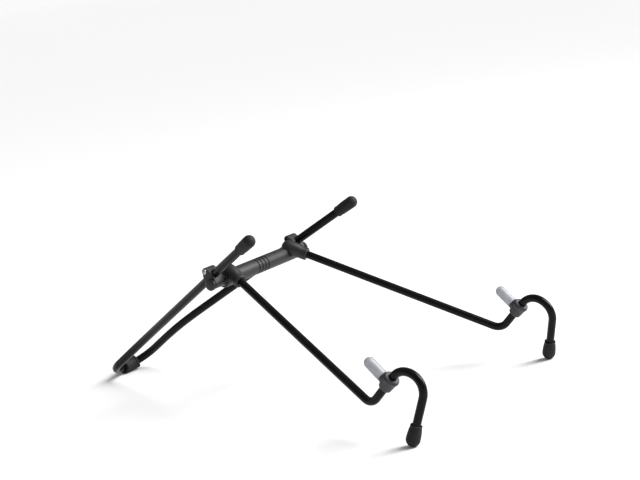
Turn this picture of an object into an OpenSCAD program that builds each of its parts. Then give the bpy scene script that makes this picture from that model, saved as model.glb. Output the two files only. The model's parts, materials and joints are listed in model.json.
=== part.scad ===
// Folding wire stand for a tablet.
// Two bent front wires end in hooks with capped feet and turning grips, and meet
// at a pivot barrel. One hairpin rear leg turns on the barrel's axle, and its two
// capped prongs carry the back of the tablet.
// X runs to the right, Y to the back and Z up from the surface it stands on.

/* [Front wires] */
// Thickness of a front wire
front_wire_d = 4.4; // [3.8:0.1:4.8]
// Distance of the front feet ahead of the middle
front_foot_y = 129.2; // [120:0.2:140]
// Half the distance between the front feet
front_foot_x = 69.8; // [66:0.2:76]
// Half the distance between the two grips
grip_x = 65; // [60:0.2:70]
// How far the front of a hook leans ahead of its foot
hook_lean = 9; // [8.4:0.1:9.8]
// Height of the front corner of a hook
hook_front_z = 30.6; // [30:0.1:31]
// Distance of the rear corner of a hook behind its foot
hook_reach = 4.35; // [4.3:0.05:5.2]
// Height of the rear corner of a hook
hook_rear_z = 38.8; // [38.5:0.1:39.4]
// Bend radius at both corners of a hook
hook_r = 9.7; // [7:0.1:9.7]
// Length of the straight from the hook's rear corner down to the valley
ledge_len = 29.8; // [28:0.1:32]
// Slope of that straight, which the tablet's edge rests on
ledge_slope = 44.8; // [42:0.1:48]
// Bend radius in the valley
valley_r = 7; // [5:0.1:9]

/* [Front caps] */
// Diameter of the round end of a front cap
cap_d = 7.4; // [7:0.1:8]
// Diameter of a front cap at its rim
cap_rim_d = 6.2; // [5.8:0.1:7]
// Length of a front cap above its round end
cap_len = 7.6; // [6:0.1:10]

/* [Grips] */
// Distance of the collar's middle from the hook's rear corner
collar_at = 12.4; // [12.2:0.1:13]
// Length of a collar
collar_len = 8; // [6:0.1:8.4]
// Diameter of a collar at its rear end
collar_d = 7; // [6.6:0.1:7.4]
// Diameter of the collar's front rim
collar_rim_d = 8.8; // [7.6:0.1:9.2]
// Diameter of the upright lip
lip_d = 6; // [4.8:0.1:6]
// Height of the lip's tip above the middle of the wire
lip_reach = 16.6; // [13:0.1:20]

/* [Rear leg] */
// Thickness of the rear wire
rear_wire_d = 4.8; // [4.4:0.1:5]
// Distance of the rear foot behind the middle
rear_foot_y = 134.2; // [125:0.2:145]
// Half width of the hairpin, whose sides start out parallel
leg_x = 15.7; // [14:0.1:18]
// Slope of the parallel sides above the surface
leg_slope = 33; // [31:0.1:35]
// Length of the parallel sides, from the foot to where the arms spread
leg_len = 44; // [40:0.5:48]
// Bend radius at the foot of the hairpin
leg_r = 15; // [14:0.1:15.2]
// Slope of the spreading arms above the surface
arm_slope = 29.2; // [28:0.1:31]
// Bend radius where the arms start to spread
arm_r = 150; // [80:1:180]
// Half the distance between the knuckles
knuckle_x = 37; // [36.8:0.1:37.2]
// Distance of the knuckles along the arms
knuckle_at = 96.2; // [94:0.2:98]
// Distance of the prong tips' centres along the arms
prong_at = 140.9; // [135:0.1:146]
// Diameter of the rubber sleeve on the foot
sleeve_d = 8.4; // [7.6:0.1:9]
// Angle of the right foot bend that the sleeve covers
sleeve_right = 34; // [20:1:36]
// Angle of the left foot bend that the sleeve covers
sleeve_left = 6; // [4:1:20]
// Diameter of the prong caps
prong_cap_d = 7; // [6.4:0.1:7.6]
// Length of a prong cap below its round end
prong_cap_len = 11; // [8:0.5:14]

/* [Pivot] */
// Diameter of the axle
axle_d = 2.6; // [2:0.1:2.8]
// Diameter of the pivot barrel
barrel_d = 9; // [8:0.1:10]
// Half the length of the barrel
barrel_half = 32; // [31.8:0.1:32.2]
// Distance of the front wires' ends above the axle
yoke_offset = 4.2; // [4:0.1:5]
// Distance of the front wires' ends from the middle
yoke_x = 27; // [24:0.1:27]
// Diameter of the sockets that hold the front wires
socket_d = 8.4; // [7.6:0.1:9]
// Length of those sockets
socket_len = 12; // [10:0.5:14]
// Distance of the axle below the rear wire
knuckle_offset = 4.4; // [4.3:0.1:5]
// Width of a knuckle
knuckle_w = 8; // [7:0.1:8]
// Distance of the clamp screw above the rear wire
screw_offset = 3.7; // [3.6:0.1:4.2]
// Diameter of the clamp screw
screw_d = 1.6; // [1.2:0.1:1.6]
// Diameter of its head
screw_head_d = 3.2; // [2.6:0.1:3.4]

/* [Hidden] */
$fn = 64;

gap = 0.05; // clearance round a part that sits or turns in another
slack = 0.3; // side clearance between parts that move past each other
lap = 0.1; // how far a straight stretch of wire runs into the bend after it
swell = 0.02; // a bent stretch of wire is this much thicker than a straight one
left = -1;
right = 1;

coat = "#1b1b1d";
rubber = "#161616";
grip_grey = "#3a383e";
clear = "#dfe1e4";
moulding = "#202022";
steel = "#9a9da2";

flat_cut = 0.1; // depth of the flat under each front cap
// Centre of a front cap's round end
cap_z = cap_d / 2 - flat_cut;
cap_depth = 1.2; // the wire's end stands this far above that centre
// Centre of the rear wire at its foot
sleeve_z = sleeve_d / 2 - 2 * flat_cut;

prong_depth = 0.6; // the rear wire's end stands this far below a prong cap's centre
prong_taper = 0.6; // a prong cap's rim is this much thinner than its round end

// Corner points of a front wire, from its foot to its end in the barrel
hook_front = [grip_x + 0.2, -front_foot_y - hook_lean, hook_front_z];
hook_rear = [grip_x, -front_foot_y + hook_reach, hook_rear_z];
ledge_dir = [0, cos(ledge_slope), -sin(ledge_slope)];
valley = hook_rear + ledge_dir * ledge_len;
foot_centre = [front_foot_x, -front_foot_y, cap_z];
cap_dir = unit(hook_front - foot_centre);

// Sides of the hairpin, its spreading arms, and the axle just below them
leg_dir = [0, -cos(leg_slope), sin(leg_slope)];
arm_dir = [0, -cos(arm_slope), sin(arm_slope)];
arm_up = [0, sin(arm_slope), cos(arm_slope)];
arm_spread = (knuckle_x - leg_x) / knuckle_at;
leg_foot = [0, rear_foot_y, sleeve_z];
leg_knee = leg_foot + leg_dir * leg_len;
axle_at = leg_knee + arm_dir * knuckle_at - arm_up * knuckle_offset;

// The front wires' ends stand square above the axle
yoke_slope = atan2(axle_at.z - valley.z, axle_at.y - valley.y);
yoke = axle_at + yoke_offset * [0, -sin(yoke_slope), cos(yoke_slope)] + [yoke_x, 0, 0];
yoke_dir = unit(yoke - valley);

washer_t = 0.7;
washer_d = 6.4;
knuckle_in = barrel_half + washer_t + slack;
knuckle_out = knuckle_in + knuckle_w;
axle_cap_t = 2.2;
axle_cap_d = 6.6;
axle_half = knuckle_out + slack + axle_cap_t / 2;
axle_lobe_r = 3;
wire_lobe_r = 3.6;
screw_lobe_r = 2;
axle_web = 5.6;
screw_web = 3.8;
bore_reach = 12;
bore_past = 5; // the sleeve's bore runs this many degrees past its ends
screw_len = 6.6;
screw_head_t = 0.9;
slot_w = 0.5;

lip_dir = [0, sin(ledge_slope), cos(ledge_slope)];
collar_centre = hook_rear + ledge_dir * collar_at;
rim_at = 1.6;
rim_bevel = 0.8;
collar_boss_d = 6;
collar_boss_reach = 4.6;
peg_d = 2.2;
peg_in = 3.2;
peg_out = 9;

function unit(v) = v / norm(v);
function flip(p, side) = [p.x * side, p.y, p.z];
// Point on the arm of one side, at a distance from where the arms start to spread
function arm_point(side, at) = leg_knee + arm_dir * at + [side * (leg_x + at * arm_spread), 0, 0];
// Angle that a wire turns through at corner b
function turn(a, b, c) = acos(unit(b - a) * unit(c - b));
// Length that a bend takes off the straight on each side of corner b
function bend_len(a, b, c, r) = r * tan(turn(a, b, c) / 2);

front_path = [foot_centre + cap_dir * cap_depth, hook_front, hook_rear, valley, yoke];
front_radii = [hook_r, hook_r, valley_r];
prong_end = prong_at - prong_depth;
foot_corner = leg_foot + [leg_x, 0, 0];
leg_path = [
  arm_point(right, prong_end),
  arm_point(right, 0),
  foot_corner,
  flip(foot_corner, left),
  arm_point(left, 0),
  arm_point(left, prong_end)
];
leg_radii = [arm_r, leg_r, leg_r, arm_r];

// Round bar from a to b
module rod(a, b, d) {
  v = b - a;
  translate(a)
    rotate([0, acos(v.z / norm(v)), atan2(v.y, v.x)])
      cylinder(h = norm(v), d = d);
}

// Bend at corner b, or its first part up to angle most
module bend(a, b, c, r, d, most = 180) {
  u = unit(b - a);
  w = unit(c - b);
  n = unit(w - u * (u * w));
  m = cross(-n, u);
  o = b - u * bend_len(a, b, c, r) + n * r;
  multmatrix([[-n.x, u.x, m.x, o.x], [-n.y, u.y, m.y, o.y], [-n.z, u.z, m.z, o.z], [0, 0, 0, 1]])
    rotate_extrude(angle = min(turn(a, b, c), most))
      translate([r, 0])
        circle(d = d + swell);
}

// Bent wire along the corner points of path
module wire(path, radii, d) {
  last = len(path) - 1;
  inner = [for (i = [1:last - 1]) bend_len(path[i - 1], path[i], path[i + 1], radii[i - 1])];
  trim = concat([0], inner, [0]);
  for (i = [0:last - 1]) {
    u = unit(path[i + 1] - path[i]);
    rod(
      path[i] + u * max(0, trim[i] - lap),
      path[i + 1] - u * max(0, trim[i + 1] - lap),
      d
    );
  }
  for (i = [1:last - 1])
    bend(path[i - 1], path[i], path[i + 1], radii[i - 1], d);
}

// Puts what stands along Z at point p, along direction v
module along(p, v) {
  translate(p)
    rotate([0, acos(v.z / norm(v)), atan2(v.y, v.x)])
      children();
}

// Everything below the surface, under point p
module under(p) {
  translate([p.x - 15, p.y - 15, -20])
    cube([30, 30, 20]);
}

module front_wire(side) {
  color(coat)
    wire([for (p = front_path) flip(p, side)], front_radii, front_wire_d);
}

module front_cap(side) {
  color(rubber)
    difference() {
      along(flip(foot_centre, side), flip(cap_dir, side)) {
        sphere(d = cap_d);
        cylinder(h = cap_len, d1 = cap_d, d2 = cap_rim_d);
      }
      along(flip(foot_centre, side), flip(cap_dir, side))
        translate([0, 0, cap_depth - gap])
          cylinder(h = cap_len, d = front_wire_d + 2 * gap);
      under(flip(foot_centre, side));
    }
}

module socket(side) {
  end = flip(yoke, side);
  dir = flip(yoke_dir, side);
  along(end, -dir) {
    sphere(d = socket_d);
    cylinder(h = socket_len, d = socket_d);
  }
}

module pivot_barrel() {
  color(moulding)
    difference() {
      union() {
        translate([-barrel_half, axle_at.y, axle_at.z])
          rotate([0, 90, 0])
            cylinder(h = 2 * barrel_half, d = barrel_d);
        socket(left);
        socket(right);
      }
      translate([-axle_half, axle_at.y, axle_at.z])
        rotate([0, 90, 0])
          cylinder(h = 2 * axle_half, d = axle_d + 2 * gap);
      for (side = [left, right])
        rod(
          flip(yoke - yoke_dir * (socket_len + 1), side),
          flip(yoke + yoke_dir * gap, side),
          front_wire_d + 2 * gap
        );
    }
}

module pivot_axle() {
  color(steel)
    translate([-axle_half, axle_at.y, axle_at.z])
      rotate([0, 90, 0])
        cylinder(h = 2 * axle_half, d = axle_d);
}

// Puts what stands along Z on the axle, pointing out to one side from distance x
module on_axle(side, x) {
  translate([side * x, axle_at.y, axle_at.z])
    rotate([0, side * 90, 0])
      children();
}

module washer(side) {
  color(steel)
    on_axle(side, barrel_half)
      difference() {
        cylinder(h = washer_t, d = washer_d);
        translate([0, 0, -1])
          cylinder(h = washer_t + 2, d = axle_d + 2 * gap);
      }
}

module axle_cap(side) {
  color(moulding)
    on_axle(side, knuckle_out + slack)
      difference() {
        intersection() {
          cylinder(h = axle_cap_t, d = axle_cap_d);
          translate([0, 0, axle_cap_t - axle_cap_d])
            sphere(d = 2 * axle_cap_d);
        }
        translate([0, 0, -1])
          cylinder(h = axle_cap_t / 2 + 1 + gap, d = axle_d + 2 * gap);
      }
}

module rear_wire() {
  color(coat)
    wire(leg_path, leg_radii, rear_wire_d);
}

// The foot of the hairpin, with so many degrees of the bend on either side
module foot_arc(left_angle, right_angle, d) {
  cut = [bend_len(leg_path[1], leg_path[2], leg_path[3], leg_r) - lap, 0, 0];
  rod(leg_path[2] - cut, leg_path[3] + cut, d);
  bend(leg_path[2], leg_path[3], leg_path[4], leg_r, d, left_angle);
  bend(leg_path[3], leg_path[2], leg_path[1], leg_r, d, right_angle);
}

module rear_foot_sleeve() {
  color(rubber)
    difference() {
      foot_arc(sleeve_left, sleeve_right, sleeve_d);
      foot_arc(sleeve_left + bore_past, sleeve_right + bore_past, rear_wire_d + 2 * gap);
      under(leg_foot);
    }
}

module prong_cap(side) {
  tip = arm_point(side, prong_at);
  down = unit(arm_point(side, 0) - tip);
  color(rubber)
    difference() {
      along(tip, down) {
        sphere(d = prong_cap_d);
        cylinder(h = prong_cap_len, d1 = prong_cap_d, d2 = prong_cap_d - prong_taper);
      }
      along(tip, down)
        translate([0, 0, prong_depth - gap])
          cylinder(h = prong_cap_len, d = rear_wire_d + 2 * gap);
    }
}

// Outline of a knuckle seen along the axle, with its long way up from the axle
module knuckle_outline() {
  screw_up = knuckle_offset + screw_offset;
  circle(r = axle_lobe_r);
  translate([knuckle_offset, 0])
    circle(r = wire_lobe_r);
  translate([screw_up, 0])
    circle(r = screw_lobe_r);
  translate([0, -axle_web / 2])
    square([knuckle_offset, axle_web]);
  translate([knuckle_offset, -screw_web / 2])
    square([screw_offset, screw_web]);
}

// Puts what is drawn in the knuckle's outline plane on the arms, at distance x
module on_knuckle(x) {
  multmatrix([
    [0, 0, 1, x],
    [arm_up.y, arm_dir.y, 0, axle_at.y],
    [arm_up.z, arm_dir.z, 0, axle_at.z],
    [0, 0, 0, 1]
  ])
    children();
}

// Slab of a knuckle between x = from and x = to, bored for axle, wire and screw
module knuckle_slab(side, from, to) {
  screw_up = knuckle_offset + screw_offset;
  difference() {
    on_knuckle(from)
      linear_extrude(to - from)
        knuckle_outline();
    on_knuckle(from - 1)
      cylinder(h = to - from + 2, d = axle_d + 2 * gap);
    on_knuckle(from - 1)
      translate([screw_up, 0, 0])
        cylinder(h = to - from + 2, d = screw_d + 2 * gap);
    rod(
      arm_point(side, knuckle_at - bore_reach),
      arm_point(side, knuckle_at + bore_reach),
      rear_wire_d + 2 * gap
    );
  }
}

module knuckle_inner(side) {
  edges = [side * knuckle_in, side * (knuckle_x - gap)];
  color(moulding)
    knuckle_slab(side, min(edges), max(edges));
}

module knuckle_outer(side) {
  edges = [side * (knuckle_x + gap), side * knuckle_out];
  color(moulding)
    knuckle_slab(side, min(edges), max(edges));
}

module clamp_screw(side) {
  at = axle_at + arm_up * (knuckle_offset + screw_offset);
  color(steel)
    translate([side * knuckle_out, at.y, at.z])
      rotate([0, side * 90, 0])
        difference() {
          union() {
            translate([0, 0, -screw_len])
              cylinder(h = screw_len, d = screw_d);
            intersection() {
              cylinder(h = screw_head_t, d = screw_head_d);
              translate([0, 0, screw_head_t - screw_head_d])
                sphere(d = 2 * screw_head_d);
            }
          }
          translate([-screw_head_d, -slot_w / 2, screw_head_t / 2])
            cube([2 * screw_head_d, slot_w, screw_head_t]);
        }
}

module grip_collar(side) {
  mid = flip(collar_centre, side);
  color(grip_grey)
    difference() {
      union() {
        along(mid - ledge_dir * collar_len / 2, ledge_dir) {
          cylinder(h = rim_at, d1 = collar_rim_d - rim_bevel, d2 = collar_rim_d);
          translate([0, 0, rim_at])
            cylinder(h = collar_len - rim_at, d1 = collar_rim_d, d2 = collar_d);
        }
        rod(mid, mid + lip_dir * collar_boss_reach, collar_boss_d);
      }
      rod(mid - ledge_dir * collar_len, mid + ledge_dir * collar_len, front_wire_d + 2 * gap);
      rod(mid + lip_dir * (peg_in - gap), mid + lip_dir * peg_out, peg_d + 2 * gap);
    }
}

module grip_lip(side) {
  round_at = lip_reach - lip_d / 2;
  color(clear)
    along(flip(collar_centre, side), lip_dir)
      difference() {
        union() {
          translate([0, 0, collar_boss_reach])
            cylinder(h = round_at - collar_boss_reach, d = lip_d);
          translate([0, 0, round_at])
            sphere(d = lip_d);
        }
        cylinder(h = peg_out + gap, d = peg_d + 2 * gap);
      }
}

module grip_peg(side) {
  mid = flip(collar_centre, side);
  color(clear)
    rod(mid + lip_dir * peg_in, mid + lip_dir * peg_out, peg_d);
}

front_wire(left);  // left_front_wire
front_wire(right);  // right_front_wire
front_cap(left);  // left_front_cap
front_cap(right);  // right_front_cap
pivot_barrel();
pivot_axle();
washer(left);  // left_washer
washer(right);  // right_washer
axle_cap(left);  // left_axle_cap
axle_cap(right);  // right_axle_cap
rear_wire();
rear_foot_sleeve();
prong_cap(left);  // left_prong_cap
prong_cap(right);  // right_prong_cap
knuckle_inner(left);  // left_knuckle_inner
knuckle_inner(right);  // right_knuckle_inner
knuckle_outer(left);  // left_knuckle_outer
knuckle_outer(right);  // right_knuckle_outer
clamp_screw(left);  // left_clamp_screw
clamp_screw(right);  // right_clamp_screw
grip_collar(left);  // left_grip_collar
grip_collar(right);  // right_grip_collar
grip_lip(left);  // left_grip_lip
grip_lip(right);  // right_grip_lip
grip_peg(left);  // left_grip_peg
grip_peg(right);  // right_grip_peg
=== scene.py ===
import json
import math

import bmesh
import bpy
from mathutils import Matrix, Vector, geometry


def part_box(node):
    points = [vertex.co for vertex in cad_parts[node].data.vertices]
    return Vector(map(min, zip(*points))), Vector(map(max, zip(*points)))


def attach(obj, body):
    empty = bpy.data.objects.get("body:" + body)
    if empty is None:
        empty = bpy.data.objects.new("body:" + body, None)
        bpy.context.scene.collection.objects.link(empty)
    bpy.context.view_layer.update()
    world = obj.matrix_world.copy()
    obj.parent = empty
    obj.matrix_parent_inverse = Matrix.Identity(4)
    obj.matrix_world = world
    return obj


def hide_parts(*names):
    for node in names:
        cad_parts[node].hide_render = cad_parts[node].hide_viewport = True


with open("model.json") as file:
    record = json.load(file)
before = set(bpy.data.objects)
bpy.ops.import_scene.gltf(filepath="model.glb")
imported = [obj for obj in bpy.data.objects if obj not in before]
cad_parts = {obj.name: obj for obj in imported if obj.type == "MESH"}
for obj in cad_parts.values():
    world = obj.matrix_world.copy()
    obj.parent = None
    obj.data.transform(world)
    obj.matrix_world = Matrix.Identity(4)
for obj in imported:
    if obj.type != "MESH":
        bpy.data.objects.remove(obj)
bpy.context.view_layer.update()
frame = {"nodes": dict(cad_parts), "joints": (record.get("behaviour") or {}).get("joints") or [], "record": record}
print("frame loaded")

joints = {j["name"]: j for j in frame["joints"]}
mounts = {m["name"]: m for m in frame["record"]["mounts"]}
axleAt = Vector(joints["rear_leg_fold"]["pos_m"])
# clearance of a bore, clearance of a rubber piece on its wire, depth of a rubber piece's
# inner edge, and how far a cutter runs past what it cuts
boreFit = 0.00005
rubberFit = 0.00004
innerEdge = 0.0003
cutPast = 0.02
sides = {"left": -1, "right": 1}


def mirrored(point, side):
    return Vector((point[0] * side, point[1], point[2]))


# materials

def groupSockets(group, inputs, outputs):
    for name, kind, value in inputs:
        socket = group.interface.new_socket(name, in_out="INPUT", socket_type=kind)
        socket.default_value = value
    for name, kind in outputs:
        group.interface.new_socket(name, in_out="OUTPUT", socket_type=kind)
    return group.nodes.new("NodeGroupInput"), group.nodes.new("NodeGroupOutput")


def noiseNode(tree, scale, detail=3.0, roughness=0.5):
    noise = tree.nodes.new("ShaderNodeTexNoise")
    noise.inputs["Scale"].default_value = scale
    noise.inputs["Detail"].default_value = detail
    noise.inputs["Roughness"].default_value = roughness
    return noise


def rampNode(tree, low, high, fromValue=0.0, toValue=1.0):
    ramp = tree.nodes.new("ShaderNodeMapRange")
    ramp.inputs["From Min"].default_value = low
    ramp.inputs["From Max"].default_value = high
    ramp.inputs["To Min"].default_value = fromValue
    ramp.inputs["To Max"].default_value = toValue
    return ramp


def grainGroup():
    # fine surface grain: a height for bump, and a roughness that wanders a little
    group = bpy.data.node_groups.new("surfaceGrain", "ShaderNodeTree")
    given, put = groupSockets(
        group,
        [("Grain Scale", "NodeSocketFloat", 2500.0), ("Cloud Scale", "NodeSocketFloat", 60.0),
         ("Roughness", "NodeSocketFloat", 0.5), ("Spread", "NodeSocketFloat", 0.08)],
        [("Height", "NodeSocketFloat"), ("Roughness", "NodeSocketFloat")],
    )
    links = group.links
    place = group.nodes.new("ShaderNodeTexCoord")
    grain = noiseNode(group, 2500.0, 2.0, 0.45)
    cloud = noiseNode(group, 60.0, 4.0, 0.6)
    links.new(place.outputs["Object"], grain.inputs["Vector"])
    links.new(place.outputs["Object"], cloud.inputs["Vector"])
    links.new(given.outputs["Grain Scale"], grain.inputs["Scale"])
    links.new(given.outputs["Cloud Scale"], cloud.inputs["Scale"])
    centred = group.nodes.new("ShaderNodeMath")
    centred.operation = "SUBTRACT"
    centred.inputs[1].default_value = 0.5
    links.new(cloud.outputs["Fac"], centred.inputs[0])
    spread = group.nodes.new("ShaderNodeMath")
    spread.operation = "MULTIPLY_ADD"
    links.new(centred.outputs[0], spread.inputs[0])
    links.new(given.outputs["Spread"], spread.inputs[1])
    links.new(given.outputs["Roughness"], spread.inputs[2])
    links.new(grain.outputs["Fac"], put.inputs["Height"])
    links.new(spread.outputs[0], put.inputs["Roughness"])
    return group


def dustAndSheenGroup():
    # pale dust and a painted sheen on what faces up, in soft patches
    group = bpy.data.node_groups.new("dustAndSheen", "ShaderNodeTree")
    given, put = groupSockets(
        group,
        [("Amount", "NodeSocketFloat", 0.2), ("Patch Scale", "NodeSocketFloat", 180.0)],
        [("Mask", "NodeSocketFloat")],
    )
    links = group.links
    place = group.nodes.new("ShaderNodeTexCoord")
    patches = noiseNode(group, 180.0, 5.0, 0.65)
    links.new(place.outputs["Object"], patches.inputs["Vector"])
    links.new(given.outputs["Patch Scale"], patches.inputs["Scale"])
    surface = group.nodes.new("ShaderNodeNewGeometry")
    parts = group.nodes.new("ShaderNodeSeparateXYZ")
    links.new(surface.outputs["Normal"], parts.inputs["Vector"])
    # faces turned up get more of the pale tint, the painted sheen of light from above
    facing = rampNode(group, 0.2, 1.0)
    links.new(parts.outputs["Z"], facing.inputs["Value"])
    patchy = rampNode(group, 0.42, 0.72)
    links.new(patches.outputs["Fac"], patchy.inputs["Value"])
    both = group.nodes.new("ShaderNodeMath")
    both.operation = "MULTIPLY"
    links.new(facing.outputs["Result"], both.inputs[0])
    links.new(patchy.outputs["Result"], both.inputs[1])
    scaled = group.nodes.new("ShaderNodeMath")
    scaled.operation = "MULTIPLY"
    links.new(both.outputs[0], scaled.inputs[0])
    links.new(given.outputs["Amount"], scaled.inputs[1])
    links.new(scaled.outputs[0], put.inputs["Mask"])
    return group


surfaceGrain = grainGroup()
dustAndSheen = dustAndSheenGroup()

finishes = {
    "satinCoat": {
        "slot": "black_coat", "color": (0.0024, 0.0024, 0.0027), "shade": (0.0046, 0.0046, 0.0052),
        "shadeScale": 140.0, "roughness": 0.22, "spread": 0.10, "grain": 1900.0, "cloud": 90.0,
        "bump": 0.08, "bumpDepth": 0.00005, "dustSheen": 0.02, "specular": 0.13,
    },
    "mattRubber": {
        "slot": "black_rubber", "color": (0.0060, 0.0060, 0.0063), "shade": (0.0105, 0.0105, 0.011),
        "shadeScale": 220.0, "roughness": 0.66, "spread": 0.15, "grain": 3600.0, "cloud": 160.0,
        "bump": 0.22, "bumpDepth": 0.00008, "dustSheen": 0.16, "specular": 0.26,
    },
    "greyRubber": {
        "slot": "grey_rubber", "color": (0.028, 0.025, 0.031), "shade": (0.042, 0.038, 0.046),
        "shadeScale": 260.0, "roughness": 0.50, "spread": 0.14, "grain": 3200.0, "cloud": 180.0,
        "bump": 0.16, "bumpDepth": 0.00006, "dustSheen": 0.16, "specular": 0.36,
    },
    "mouldedBlack": {
        "slot": "black_moulding", "color": (0.009, 0.009, 0.0098), "shade": (0.015, 0.015, 0.0165),
        "shadeScale": 120.0, "roughness": 0.48, "spread": 0.10, "grain": 4200.0, "cloud": 110.0,
        "bump": 0.20, "bumpDepth": 0.00005, "dustSheen": 0.14, "specular": 0.34,
    },
    "platedSteel": {
        "slot": "steel", "color": (0.40, 0.40, 0.42), "shade": (0.29, 0.29, 0.31),
        "shadeScale": 420.0, "roughness": 0.32, "spread": 0.20, "grain": 5200.0, "cloud": 260.0,
        "bump": 0.12, "bumpDepth": 0.00003, "dustSheen": 0.10, "metallic": 1.0, "specular": 0.5,
    },
    "frostedLip": {
        "slot": "clear_rubber", "color": (0.40, 0.41, 0.44), "shade": (0.48, 0.49, 0.52),
        "shadeScale": 300.0, "roughness": 0.38, "spread": 0.10, "grain": 2600.0, "cloud": 200.0,
        "bump": 0.10, "bumpDepth": 0.00005, "dustSheen": 0.0, "specular": 0.5,
        "transmission": 0.45, "ior": 1.42,
    },
}
# pale tint for dust and the painted sheen on upward faces
dustSheenColor = (0.34, 0.33, 0.31, 1)


def finishMaterial(name, look):
    material = bpy.data.materials.new(name)
    material.use_nodes = True
    tree = material.node_tree
    links = tree.links
    shader = tree.nodes["Principled BSDF"]
    shader.inputs["Metallic"].default_value = look.get("metallic", 0.0)
    shader.inputs["Specular IOR Level"].default_value = look["specular"]
    shader.inputs["Transmission Weight"].default_value = look.get("transmission", 0.0)
    shader.inputs["IOR"].default_value = look.get("ior", 1.5)
    place = tree.nodes.new("ShaderNodeTexCoord")
    shadeNoise = noiseNode(tree, look["shadeScale"], 4.0, 0.55)
    links.new(place.outputs["Object"], shadeNoise.inputs["Vector"])
    shadeMix = tree.nodes.new("ShaderNodeMix")
    shadeMix.data_type = "RGBA"
    shadeMix.inputs["A"].default_value = (*look["color"], 1)
    shadeMix.inputs["B"].default_value = (*look["shade"], 1)
    shadeRamp = rampNode(tree, 0.35, 0.68)
    links.new(shadeNoise.outputs["Fac"], shadeRamp.inputs["Value"])
    links.new(shadeRamp.outputs["Result"], shadeMix.inputs["Factor"])
    # dust and painted sheen: upward faces get a pale tint in soft patches
    dustSheen = tree.nodes.new("ShaderNodeGroup")
    dustSheen.node_tree = dustAndSheen
    dustSheen.inputs["Amount"].default_value = look["dustSheen"] * 0.25
    dustSheenMix = tree.nodes.new("ShaderNodeMix")
    dustSheenMix.data_type = "RGBA"
    dustSheenMix.inputs["B"].default_value = dustSheenColor
    links.new(shadeMix.outputs["Result"], dustSheenMix.inputs["A"])
    links.new(dustSheen.outputs["Mask"], dustSheenMix.inputs["Factor"])
    links.new(dustSheenMix.outputs["Result"], shader.inputs["Base Color"])
    grain = tree.nodes.new("ShaderNodeGroup")
    grain.node_tree = surfaceGrain
    grain.inputs["Grain Scale"].default_value = look["grain"]
    grain.inputs["Cloud Scale"].default_value = look["cloud"]
    grain.inputs["Roughness"].default_value = look["roughness"]
    grain.inputs["Spread"].default_value = look["spread"]
    links.new(grain.outputs["Roughness"], shader.inputs["Roughness"])
    bump = tree.nodes.new("ShaderNodeBump")
    bump.inputs["Strength"].default_value = look["bump"]
    bump.inputs["Distance"].default_value = look["bumpDepth"]
    links.new(grain.outputs["Height"], bump.inputs["Height"])
    links.new(bump.outputs["Normal"], shader.inputs["Normal"])
    return material


materials = {name: finishMaterial(name, look) for name, look in finishes.items()}
print("materials made")


# shaping helpers

def bridge(mesh, low, high):
    if len(low) == 1 and len(high) == 1:
        return
    count = max(len(low), len(high))
    for i in range(count):
        j = (i + 1) % count
        corners = [low[i % len(low)], low[j % len(low)], high[j % len(high)], high[i % len(high)]]
        unique = list(dict.fromkeys(corners))
        if len(unique) > 2:
            mesh.faces.new(unique)


def finished(name, mesh, finish, body, nodes=()):
    # a closed, smooth-shaded piece at the origin, riding on its body
    data = bpy.data.meshes.new(name)
    mesh.to_mesh(data)
    mesh.free()
    piece = bpy.data.objects.new(name, data)
    bpy.context.scene.collection.objects.link(piece)
    return dressed(piece, finish, body, nodes)


def dressed(piece, finish, body, nodes=()):
    piece.data.materials.clear()
    piece.data.materials.append(materials[finish])
    piece.data.shade_smooth()
    piece.data.set_sharp_from_angle(angle=math.radians(38))
    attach(piece, body)
    if nodes:
        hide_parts(*nodes)
    return piece


def skin(rings, ring=False):
    # a surface over rings of points; a ring of one point is a pole
    mesh = bmesh.new()
    made = [[mesh.verts.new(p) for p in points] for points in rings]
    pairs = list(zip(made, made[1:]))
    if ring:
        pairs.append((made[-1], made[0]))
    for low, high in pairs:
        bridge(mesh, low, high)
    bmesh.ops.remove_doubles(mesh, verts=mesh.verts, dist=1e-7)
    bmesh.ops.recalc_face_normals(mesh, faces=mesh.faces)
    return mesh


def circleAt(centre, axis, radius, count):
    if radius < 1e-7:
        return [Vector(centre)]
    across = Vector((1, 0, 0)) if abs(axis.x) < 0.8 else Vector((0, 0, 1))
    across = (across - axis * across.dot(axis)).normalized()
    other = axis.cross(across)
    turns = [2 * math.pi * k / count for k in range(count)]
    return [centre + (across * math.cos(a) + other * math.sin(a)) * radius for a in turns]


def turned(start, direction, profile, ring=False, count=64):
    # a lathe-turned piece; the profile gives (distance along the axis, radius)
    axis = Vector(direction).normalized()
    start = Vector(start)
    return skin([circleAt(start + axis * d, axis, r, count) for d, r in profile], ring)


def bar(start, direction, fromAt, toAt, radius, count=64):
    return turned(start, direction, [(fromAt, 0), (fromAt, radius), (toAt, radius), (toAt, 0)], count=count)


def arc(distance, radius, size, fromAngle, toAngle, steps=8):
    # part of a circle in a profile; 0 degrees points along the axis and 90 outwards
    turns = [math.radians(fromAngle + (toAngle - fromAngle) * k / steps) for k in range(steps + 1)]
    return [(distance + size * math.cos(a), max(radius + size * math.sin(a), 0)) for a in turns]


def standsOn(mesh, height=0.0):
    for vert in mesh.verts:
        vert.co.z = max(vert.co.z, height)


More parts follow.
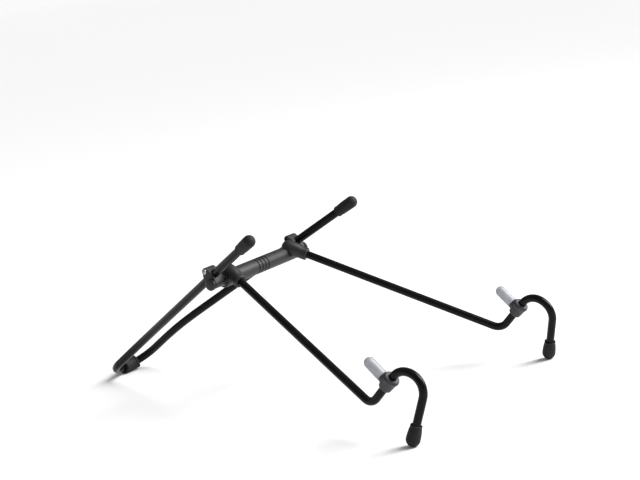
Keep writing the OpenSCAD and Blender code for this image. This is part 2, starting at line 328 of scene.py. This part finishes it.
def fused(pieces, cutters=()):
    # one solid from several overlapping meshes, less the cutters
    objects = []
    for mesh in [*pieces, *cutters]:
        data = bpy.data.meshes.new("blank")
        mesh.to_mesh(data)
        mesh.free()
        piece = bpy.data.objects.new("blank", data)
        bpy.context.scene.collection.objects.link(piece)
        objects.append(piece)
    base = objects[0]
    for index, other in enumerate(objects[1:], 1):
        cut = base.modifiers.new("cut", "BOOLEAN")
        cut.solver = "EXACT"
        cut.operation = "UNION" if index < len(pieces) else "DIFFERENCE"
        cut.object = other
    evaluated = base.evaluated_get(bpy.context.evaluated_depsgraph_get())
    result = bmesh.new()
    result.from_mesh(evaluated.to_mesh())
    evaluated.to_mesh_clear()
    for piece in objects:
        bpy.data.objects.remove(piece)
    bmesh.ops.remove_doubles(result, verts=result.verts, dist=1e-6)
    return result


# bent wires, swept by geometry nodes

def wireTree():
    tree = bpy.data.node_groups.new("bentWire", "GeometryNodeTree")
    tree.interface.new_socket("Path", in_out="INPUT", socket_type="NodeSocketGeometry")
    tree.interface.new_socket("Thickness", in_out="INPUT", socket_type="NodeSocketFloat")
    tree.interface.new_socket("Sides", in_out="INPUT", socket_type="NodeSocketInt")
    tree.interface.new_socket("Bend Steps", in_out="INPUT", socket_type="NodeSocketInt")
    tree.interface.new_socket("Coat", in_out="INPUT", socket_type="NodeSocketMaterial")
    tree.interface.new_socket("Wire", in_out="OUTPUT", socket_type="NodeSocketGeometry")
    new = tree.nodes.new
    links = tree.links
    given, put = new("NodeGroupInput"), new("NodeGroupOutput")
    toCurve = new("GeometryNodeMeshToCurve")
    links.new(given.outputs["Path"], toCurve.inputs["Mesh"])
    cornerRadius = new("GeometryNodeInputNamedAttribute")
    cornerRadius.data_type = "FLOAT"
    cornerRadius.inputs["Name"].default_value = "cornerRadius"
    fillet = new("GeometryNodeFilletCurve")
    fillet.mode = "POLY"
    links.new(toCurve.outputs["Curve"], fillet.inputs["Curve"])
    links.new(given.outputs["Bend Steps"], fillet.inputs["Count"])
    links.new(cornerRadius.outputs["Attribute"], fillet.inputs["Radius"])
    half = new("ShaderNodeMath")
    half.operation = "MULTIPLY"
    half.inputs[1].default_value = 0.5
    links.new(given.outputs["Thickness"], half.inputs[0])
    section = new("GeometryNodeCurvePrimitiveCircle")
    links.new(given.outputs["Sides"], section.inputs["Resolution"])
    links.new(half.outputs[0], section.inputs["Radius"])
    sweep = new("GeometryNodeCurveToMesh")
    sweep.inputs["Fill Caps"].default_value = True
    links.new(fillet.outputs["Curve"], sweep.inputs["Curve"])
    links.new(section.outputs["Curve"], sweep.inputs["Profile Curve"])
    coat = new("GeometryNodeSetMaterial")
    links.new(sweep.outputs["Mesh"], coat.inputs["Geometry"])
    links.new(given.outputs["Coat"], coat.inputs["Material"])
    real = new("GeometryNodeRealizeInstances")
    links.new(coat.outputs["Geometry"], real.inputs["Geometry"])
    links.new(real.outputs["Geometry"], put.inputs["Wire"])
    return tree


bentWire = wireTree()
wireInputs = {item.name: item.identifier for item in bentWire.interface.items_tree if item.in_out == "INPUT"}


def sweptWire(name, corners, radii, look, body, node):
    data = bpy.data.meshes.new(name + "Path")
    data.from_pydata([tuple(p) for p in corners], [(i, i + 1) for i in range(len(corners) - 1)], [])
    radius = data.attributes.new("cornerRadius", "FLOAT", "POINT")
    radius.data.foreach_set("value", [0.0, *radii, 0.0])
    path = bpy.data.objects.new(name + "Path", data)
    bpy.context.scene.collection.objects.link(path)
    sweep = path.modifiers.new("bentWire", "NODES")
    sweep.node_group = bentWire
    sweep[wireInputs["Thickness"]] = look["thickness"]
    sweep[wireInputs["Sides"]] = look["sides"]
    sweep[wireInputs["Bend Steps"]] = look["bendSteps"]
    sweep[wireInputs["Coat"]] = materials["satinCoat"]
    depsgraph = bpy.context.evaluated_depsgraph_get()
    made = bpy.data.meshes.new_from_object(path.evaluated_get(depsgraph))
    bpy.data.objects.remove(path)
    mesh = bmesh.new()
    mesh.from_mesh(made)
    bmesh.ops.remove_doubles(mesh, verts=mesh.verts, dist=1e-7)
    bmesh.ops.recalc_face_normals(mesh, faces=mesh.faces)
    return finished(name, mesh, "satinCoat", body, [node])


frontWire = {
    "thickness": 0.0044, "sides": 40, "bendSteps": 28,
    "hookLean": 0.009, "hookFrontZ": 0.0306, "hookOut": 0.0002, "hookRadius": 0.0097,
    "gripFromHook": 0.0124, "ledgeLength": 0.0298, "valleyRadius": 0.007,
    "yokeX": 0.027, "yokeAbove": 0.0042, "footZ": 0.0036, "footDepth": 0.0012,
}
gripAt = Vector(joints["right_grip_turn"]["pos_m"])
ledgeDir = Vector(joints["right_grip_turn"]["axis"]).normalized()
lipDir = Vector((0, -ledgeDir.z, ledgeDir.y))
footCentre = Vector(mounts["right_front_foot"]["pos_m"]) + Vector((0, 0, frontWire["footZ"]))
hookRear = gripAt - ledgeDir * frontWire["gripFromHook"]
hookFront = Vector((
    hookRear.x + frontWire["hookOut"], footCentre.y - frontWire["hookLean"], frontWire["hookFrontZ"],
))
valley = hookRear + ledgeDir * frontWire["ledgeLength"]
capDir = (hookFront - footCentre).normalized()
rise = math.atan2(axleAt.z - valley.z, axleAt.y - valley.y)
yoke = axleAt + frontWire["yokeAbove"] * Vector((0, -math.sin(rise), math.cos(rise)))
yoke.x = frontWire["yokeX"]
yokeDir = (yoke - valley).normalized()
frontCorners = [footCentre + capDir * frontWire["footDepth"], hookFront, hookRear, valley, yoke]
frontRadii = [frontWire["hookRadius"], frontWire["hookRadius"], frontWire["valleyRadius"]]
for sideName, side in sides.items():
    sweptWire(
        f"{sideName}FrontWire", [mirrored(p, side) for p in frontCorners], frontRadii,
        frontWire, "front_frame", f"{sideName}_front_wire",
    )

rearWire = {
    "thickness": 0.0048, "sides": 40, "bendSteps": 36,
    "slope": 33.0, "length": 0.044, "halfWidth": 0.0157, "footRadius": 0.015,
    "armSlope": 29.2, "armRadius": 0.15, "footY": 0.1342, "footZ": 0.004,
    "knuckleX": 0.037, "knuckleAt": 0.0962, "prongAt": 0.1409, "prongDepth": 0.0006,
}


def sloping(degrees):
    slope = math.radians(degrees)
    return Vector((0, -math.cos(slope), math.sin(slope)))


armDir = sloping(rearWire["armSlope"])
armUp = Vector((0, armDir.z, -armDir.y))
legFoot = Vector((0, rearWire["footY"], rearWire["footZ"]))
legDir = sloping(rearWire["slope"])
legKnee = legFoot + legDir * rearWire["length"]


def armPoint(along, side):
    wide = rearWire["halfWidth"]
    wide += along * (rearWire["knuckleX"] - wide) / rearWire["knuckleAt"]
    return legKnee + armDir * along + Vector((side * wide, 0, 0))


wireEnd = rearWire["prongAt"] - rearWire["prongDepth"]
legCorners = [armPoint(wireEnd, 1), armPoint(0, 1)]
legCorners += [legFoot + Vector((side * rearWire["halfWidth"], 0, 0)) for side in (1, -1)]
legCorners += [armPoint(0, -1), armPoint(wireEnd, -1)]
legRadii = [rearWire["armRadius"], rearWire["footRadius"], rearWire["footRadius"], rearWire["armRadius"]]
sweptWire("rearWire", legCorners, legRadii, rearWire, "rear_leg", "rear_wire")
print("wires swept")


# rubber caps and the rear foot's sleeve

frontCap = {
    "radius": 0.0037, "rim": 0.0031, "length": 0.0076, "lipRound": 0.00045,
    "neckAt": 0.0062, "insideDepth": 0.0012,
}
capHollow = frontWire["thickness"] / 2 + rubberFit
capProfile = (
    arc(0, 0, frontCap["radius"], 180, 96, 16)
    + [(0.0020, 0.00362), (0.0040, 0.00344), (0.0054, 0.00322), (frontCap["neckAt"], 0.00302)]
    + arc(frontCap["length"] - frontCap["lipRound"], frontCap["rim"] - frontCap["lipRound"],
          frontCap["lipRound"], 120, 0, 8)
    + [(frontCap["length"] - innerEdge, capHollow), (frontCap["insideDepth"] - boreFit, capHollow),
       (frontCap["insideDepth"] - boreFit, 0)]
)
for sideName, side in sides.items():
    cap = turned(mirrored(footCentre, side), mirrored(capDir, side), capProfile)
    standsOn(cap)
    finished(f"{sideName}FrontCap", cap, "mattRubber", "front_frame", [f"{sideName}_front_cap"])

prongCap = {"radius": 0.00349, "rim": 0.0032, "length": 0.011, "rimRound": 0.0004, "insideDepth": 0.0006}
legHollow = rearWire["thickness"] / 2 + rubberFit
prongProfile = (
    arc(0, 0, prongCap["radius"], 180, 92, 16)
    + [(0.004, 0.00342), (0.0078, 0.00330), (0.0088, 0.00316), (0.0094, 0.00314), (0.0099, 0.00320)]
    + arc(prongCap["length"] - prongCap["rimRound"], prongCap["rim"] - prongCap["rimRound"],
          prongCap["rimRound"], 90, 0, 6)
    + [(prongCap["length"] - innerEdge, legHollow), (prongCap["insideDepth"] - boreFit, legHollow),
       (prongCap["insideDepth"] - boreFit, 0)]
)
for sideName, side in sides.items():
    tip = armPoint(rearWire["prongAt"], side)
    cap = turned(tip, armPoint(0, side) - tip, prongProfile)
    finished(f"{sideName}ProngCap", cap, "mattRubber", "rear_leg", [f"{sideName}_prong_cap"])

footSleeve = {
    "radius": 0.0042, "leftAngle": 6, "rightAngle": 34, "edgeRound": 0.0011, "ringFrom": 0.0023,
    "ringDepth": 0.00022, "ringWidth": 0.00035, "innerEdge": 0.0002, "stations": 72, "sides": 64,
}


def footLine(distance):
    # point and direction on the hairpin's foot, by distance from its middle
    turnRadius = rearWire["footRadius"]
    straight = rearWire["halfWidth"] - turnRadius
    side = 1 if distance > 0 else -1
    past = max(abs(distance) - straight, 0) / turnRadius
    out = min(abs(distance), straight) + turnRadius * math.sin(past)
    point = legFoot + Vector((side * out, 0, 0)) + legDir * turnRadius * (1 - math.cos(past))
    return point, (Vector((math.cos(past), 0, 0)) + side * legDir * math.sin(past)).normalized()


def sleeveRadius(fromEnd):
    # rounded over at each end, with a shallow ring groove a little way in
    edge = footSleeve["edgeRound"]
    drop = edge - math.sqrt(max(edge ** 2 - max(edge - fromEnd, 0) ** 2, 0))
    offRing = (fromEnd - footSleeve["ringFrom"]) / footSleeve["ringWidth"]
    groove = footSleeve["ringDepth"] * math.exp(-(offRing ** 2))
    return footSleeve["radius"] - drop - groove


straight = rearWire["halfWidth"] - rearWire["footRadius"]
sleeveFrom = -straight - rearWire["footRadius"] * math.radians(footSleeve["leftAngle"])
sleeveTo = straight + rearWire["footRadius"] * math.radians(footSleeve["rightAngle"])
sleeveSpan = sleeveTo - sleeveFrom
rings = []
for k in range(footSleeve["stations"] + 1):
    along = sleeveFrom + sleeveSpan * (1 - math.cos(math.pi * k / footSleeve["stations"])) / 2
    point, direction = footLine(along)
    edgeAt = min(along - sleeveFrom, sleeveTo - along)
    rings.append(circleAt(point, direction, sleeveRadius(max(edgeAt, 0)), footSleeve["sides"]))
for end in (sleeveTo - footSleeve["innerEdge"], sleeveFrom + footSleeve["innerEdge"]):
    point, direction = footLine(end)
    rings.append(circleAt(point, direction, legHollow, footSleeve["sides"]))
sleeve = skin(rings, ring=True)
standsOn(sleeve)
finished("rearFootSleeve", sleeve, "mattRubber", "rear_leg", ["rear_foot_sleeve"])
print("caps and sleeve turned")


# grips: collar, and a lip that stands in for the lip and its peg

collar = {
    "half": 0.004, "front": 0.0040, "rear": 0.0035, "rim": 0.00438, "edgeRound": 0.0005, "bossRadius": 0.0030,
    "bossReach": 0.0046, "bossRound": 0.0006,
}
lip = {"radius": 0.0030, "reach": 0.0166, "from": 0.0046, "baseRound": 0.0003}
collarHollow = frontWire["thickness"] / 2 + boreFit
collarProfile = (
    [(-collar["half"], collarHollow)]
    + arc(-collar["half"] + collar["edgeRound"], collar["front"] - collar["edgeRound"],
          collar["edgeRound"], 180, 120, 5)
    + [(-0.0033, 0.00422)]
    + arc(-0.0025, collar["rim"] - 0.0006, 0.0006, 130, 50, 6)
    + [(-0.0017, 0.00412), (-0.0012, 0.00392), (0.0004, 0.00380), (0.0024, 0.00364)]
    + arc(collar["half"] - collar["edgeRound"], collar["rear"] - collar["edgeRound"],
          collar["edgeRound"], 80, 0, 5)
    + [(collar["half"], collarHollow)]
)
bossProfile = (
    [(0.0018, 0), (0.0018, collar["bossRadius"] - 0.0002), (0.0030, collar["bossRadius"])]
    + arc(collar["bossReach"] - collar["bossRound"], collar["bossRadius"] - collar["bossRound"],
          collar["bossRound"], 90, 0, 6)
    + [(collar["bossReach"], 0)]
)
lipProfile = (
    [(lip["from"], 0), (lip["from"], lip["radius"] - lip["baseRound"])]
    + arc(lip["from"] + lip["baseRound"], lip["radius"] - lip["baseRound"], lip["baseRound"], 180, 90, 4)[1:]
    + [(0.0075, lip["radius"]), (0.0105, lip["radius"])]
    + arc(lip["reach"] - lip["radius"], 0, lip["radius"], 90, 0, 16)
)
for sideName, side in sides.items():
    at = mirrored(gripAt, side)
    body = f"{sideName}_grip"
    tube = bar(at - ledgeDir * cutPast, ledgeDir, 0, 2 * cutPast, collarHollow)
    ring = turned(at, ledgeDir, collarProfile, ring=True)
    boss = turned(at, lipDir, bossProfile)
    grip = fused([ring, boss], [tube])
    finished(f"{sideName}GripCollar", grip, "greyRubber", body, [f"{sideName}_grip_collar"])
    upright = turned(at, lipDir, lipProfile)
    finished(f"{sideName}GripLip", upright, "frostedLip", body,
             [f"{sideName}_grip_lip", f"{sideName}_grip_peg"])
print("grips made")


# pivot: barrel, axle caps and knuckles

barrel = {
    "radius": 0.0045, "half": 0.032, "edge": 0.0006, "socketRadius": 0.0042, "socketLength": 0.012,
    "socketEdge": 0.0007, "grooveDepth": 0.0004, "grooveWidth": 0.0012, "grooves": 4,
}


def barrelProfile():
    half, radius, edge = barrel["half"], barrel["radius"], barrel["edge"]
    points = [(-half, 0), (-half, radius - edge), (-half + edge, radius)]
    step = 0.0028
    first = -step * (barrel["grooves"] - 1) / 2
    for k in range(barrel["grooves"]):
        mid = first + step * k
        deep = radius - barrel["grooveDepth"]
        wide = barrel["grooveWidth"] / 2
        floorWide = wide * 0.6
        points += [(mid - wide, radius), (mid - floorWide, deep)]
        points += [(mid + floorWide, deep), (mid + wide, radius)]
    return points + [(half - edge, radius), (half, radius - edge), (half, 0)]


body = turned((0, axleAt.y, axleAt.z), (1, 0, 0), barrelProfile())
sockets = []
cutters = []
for side in sides.values():
    end = mirrored(yoke, side)
    back = -mirrored(yokeDir, side)
    length, wide, edge = barrel["socketLength"], barrel["socketRadius"], barrel["socketEdge"]
    socketProfile = (
        arc(0, 0, wide, 180, 92, 14)
        + [(length * 0.55, wide), (length * 0.62, wide - 0.00045), (length - 2 * edge, wide - 0.00045)]
        + arc(length - edge, wide - 0.00045 - edge, edge, 90, 0, 6)
        + [(length, 0)]
    )
    sockets.append(turned(end, back, socketProfile))
    cutters.append(bar(end, back, -boreFit, cutPast, frontWire["thickness"] / 2 + boreFit))
boreRadius = 0.00135
cutters.append(bar((-2 * cutPast, axleAt.y, axleAt.z), (1, 0, 0), 0, 4 * cutPast, boreRadius))
finished("pivotBarrel", fused([body, *sockets], cutters), "mouldedBlack", "front_frame", ["pivot_barrel"])

axleCap = {"radius": 0.0033, "thick": 0.0022, "dome": 0.0009, "edge": 0.0003}
for sideName, side in sides.items():
    low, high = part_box(f"{sideName}_axle_cap")
    inner = Vector((low.x if side > 0 else high.x, axleAt.y, axleAt.z))
    radius, thick = axleCap["radius"], axleCap["thick"]
    domeFrom = thick - axleCap["dome"]
    profile = (
        [(0, 0), (0, radius - axleCap["edge"]), (axleCap["edge"], radius), (domeFrom, radius)]
        + [(domeFrom + axleCap["dome"] * math.sin(math.radians(a)), radius * math.cos(math.radians(a)) ** 0.8)
           for a in range(15, 90, 15)]
        + [(thick, 0)]
    )
    hole = bar(inner, (side, 0, 0), -0.001, thick / 2 + boreFit, boreRadius)
    cap = fused([turned(inner, (side, 0, 0), profile)], [hole])
    finished(f"{sideName}AxleCap", cap, "mouldedBlack", "front_frame", [f"{sideName}_axle_cap"])

knuckle = {
    "axleLobe": 0.0030, "wireLobe": 0.0036, "screwLobe": 0.0020, "wireUp": 0.0044, "screwUp": 0.0081,
    "edge": 0.00055, "screwRadius": 0.00085, "wireReach": 0.012,
}


def knuckleOutline():
    lobes = [(0, knuckle["axleLobe"]), (knuckle["wireUp"], knuckle["wireLobe"]),
             (knuckle["screwUp"], knuckle["screwLobe"])]
    cloud = [
        Vector((up + radius * math.cos(a), radius * math.sin(a)))
        for up, radius in lobes
        for a in [2 * math.pi * k / 48 for k in range(48)]
    ]
    return [cloud[i] for i in geometry.convex_hull_2d(cloud)]


def knuckleHalf(fromX, toX, roundX):
    # a slab of the outline, rounded over on the side at roundX
    outline = knuckleOutline()
    steps = 5
    edge = knuckle["edge"]
    middle = Vector((knuckle["wireUp"], 0))
    stations = [(toX if roundX == fromX else fromX, 0.0)]
    inward = 1 if roundX == fromX else -1
    for k in range(steps + 1):
        a = math.radians(90 * k / steps)
        stations.append((roundX + inward * edge * (1 - math.sin(a)), edge * (1 - math.cos(a))))
    rings = []
    for x, inset in stations:
        ring = []
        for p in outline:
            out = (p - middle).normalized()
            q = p - out * inset
            ring.append(Vector((x, axleAt.y, axleAt.z)) + armUp * q.x + armDir * q.y)
        rings.append(ring)
    cap = [Vector((stations[0][0], axleAt.y, axleAt.z)) + armUp * middle.x]
    top = [Vector((stations[-1][0], axleAt.y, axleAt.z)) + armUp * middle.x]
    return skin([cap, *rings, top])


for sideName, side in sides.items():
    for half in ("inner", "outer"):
        low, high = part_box(f"{sideName}_knuckle_{half}")
        outward = side if half == "outer" else -side
        slab = knuckleHalf(low.x, high.x, high.x if outward > 0 else low.x)
        near = armPoint(rearWire["knuckleAt"] - knuckle["wireReach"], side)
        far = armPoint(rearWire["knuckleAt"] + knuckle["wireReach"], side)
        wireRadius = rearWire["thickness"] / 2 + boreFit
        cuts = [bar(near, far - near, 0, (far - near).length, wireRadius)]
        for up, radius in ((0, boreRadius), (knuckle["screwUp"], knuckle["screwRadius"])):
            start = Vector((low.x - 0.001, axleAt.y, axleAt.z)) + armUp * up
            deep = high.x - low.x + 0.002
            cuts.append(bar(start, (1, 0, 0), 0, deep, radius, count=32))
        name = f"{sideName}Knuckle{half.capitalize()}"
        finished(name, fused([slab], cuts), "mouldedBlack", "rear_leg", [f"{sideName}_knuckle_{half}"])
print("pivot made")

# the steel hardware keeps its own solids and gets a plated finish
for node in ("pivot_axle", "left_washer", "right_washer", "left_clamp_screw", "right_clamp_screw"):
    metal = frame["nodes"][node]
    metal.data.materials.clear()
    metal.data.materials.append(materials["platedSteel"])


# floor, light and camera

studio = {
    "floor": (0.82, 0.82, 0.82, 1), "flatTo": 25, "rimAt": 40, "rimHeight": 4,
    "world": (1.0, 1.0, 1.0, 1), "worldStrength": 0.34,
    "sunFrom": (0.40, -0.51, 0.76), "sunWidth": 34, "sunStrength": 3.4,
    "camera": (-0.6163, -0.5240, 0.2382), "azimuth": 51.62, "elevation": 10.97, "roll": -8.78, "lens": 82.1,
}
# the floor stays flat far past the stand and rises gently to a rim above the horizon
floorProfile = [(0, 0), (0, studio["flatTo"])] + [
    (studio["rimHeight"] * k * k / 64, studio["flatTo"] + (studio["rimAt"] - studio["flatTo"]) * k / 8)
    for k in range(1, 9)
]
floorMesh = turned((0, 0, 0), (0, 0, 1), floorProfile, count=96)
bmesh.ops.reverse_faces(floorMesh, faces=floorMesh.faces)
floorData = bpy.data.meshes.new("floor")
floorMesh.to_mesh(floorData)
floorMesh.free()
floor = bpy.data.objects.new("floor", floorData)
bpy.context.scene.collection.objects.link(floor)
paper = bpy.data.materials.new("paleFloor")
paper.use_nodes = True
paper.node_tree.nodes["Principled BSDF"].inputs["Base Color"].default_value = studio["floor"]
paper.node_tree.nodes["Principled BSDF"].inputs["Roughness"].default_value = 0.9
floorData.materials.append(paper)

world = bpy.data.worlds.new("studio")
world.use_nodes = True
world.node_tree.nodes["Background"].inputs["Color"].default_value = studio["world"]
world.node_tree.nodes["Background"].inputs["Strength"].default_value = studio["worldStrength"]
bpy.context.scene.world = world


def softLight(name, place, aim, size, power):
    lamp = bpy.data.lights.new(name, "AREA")
    lamp.shape = "DISK"
    lamp.size = size
    lamp.energy = power
    light = bpy.data.objects.new(name, lamp)
    light.location = place
    light.rotation_mode = "QUATERNION"
    light.rotation_quaternion = (Vector(aim) - Vector(place)).to_track_quat("-Z", "Y")
    bpy.context.scene.collection.objects.link(light)


sunLamp = bpy.data.lights.new("sun", "SUN")
sunLamp.energy = studio["sunStrength"]
sunLamp.angle = math.radians(studio["sunWidth"])
sun = bpy.data.objects.new("sun", sunLamp)
sun.rotation_mode = "QUATERNION"
sun.rotation_quaternion = Vector(studio["sunFrom"]).to_track_quat("Z", "Y")
bpy.context.scene.collection.objects.link(sun)
softLight("sideLight", (0.75, -0.75, 0.55), (0, 0, 0.05), 0.6, 12)

cameraData = bpy.data.cameras.new("camera")
cameraData.lens = studio["lens"]
camera = bpy.data.objects.new("camera", cameraData)
camera.location = studio["camera"]
azimuth, elevation = math.radians(studio["azimuth"]), math.radians(studio["elevation"])
level = math.cos(elevation)
aim = Vector((math.sin(azimuth) * level, math.cos(azimuth) * level, -math.sin(elevation)))
camera.rotation_mode = "QUATERNION"
camera.rotation_quaternion = (
    aim.to_track_quat("-Z", "Y").to_matrix() @ Matrix.Rotation(math.radians(studio["roll"]), 3, "Z")
).to_quaternion()
cameraData.clip_start, cameraData.clip_end = 0.01, 100
bpy.context.scene.collection.objects.link(camera)
bpy.context.scene.camera = camera
bpy.context.scene.view_settings.view_transform = "Standard"
print("floor, light and camera set")
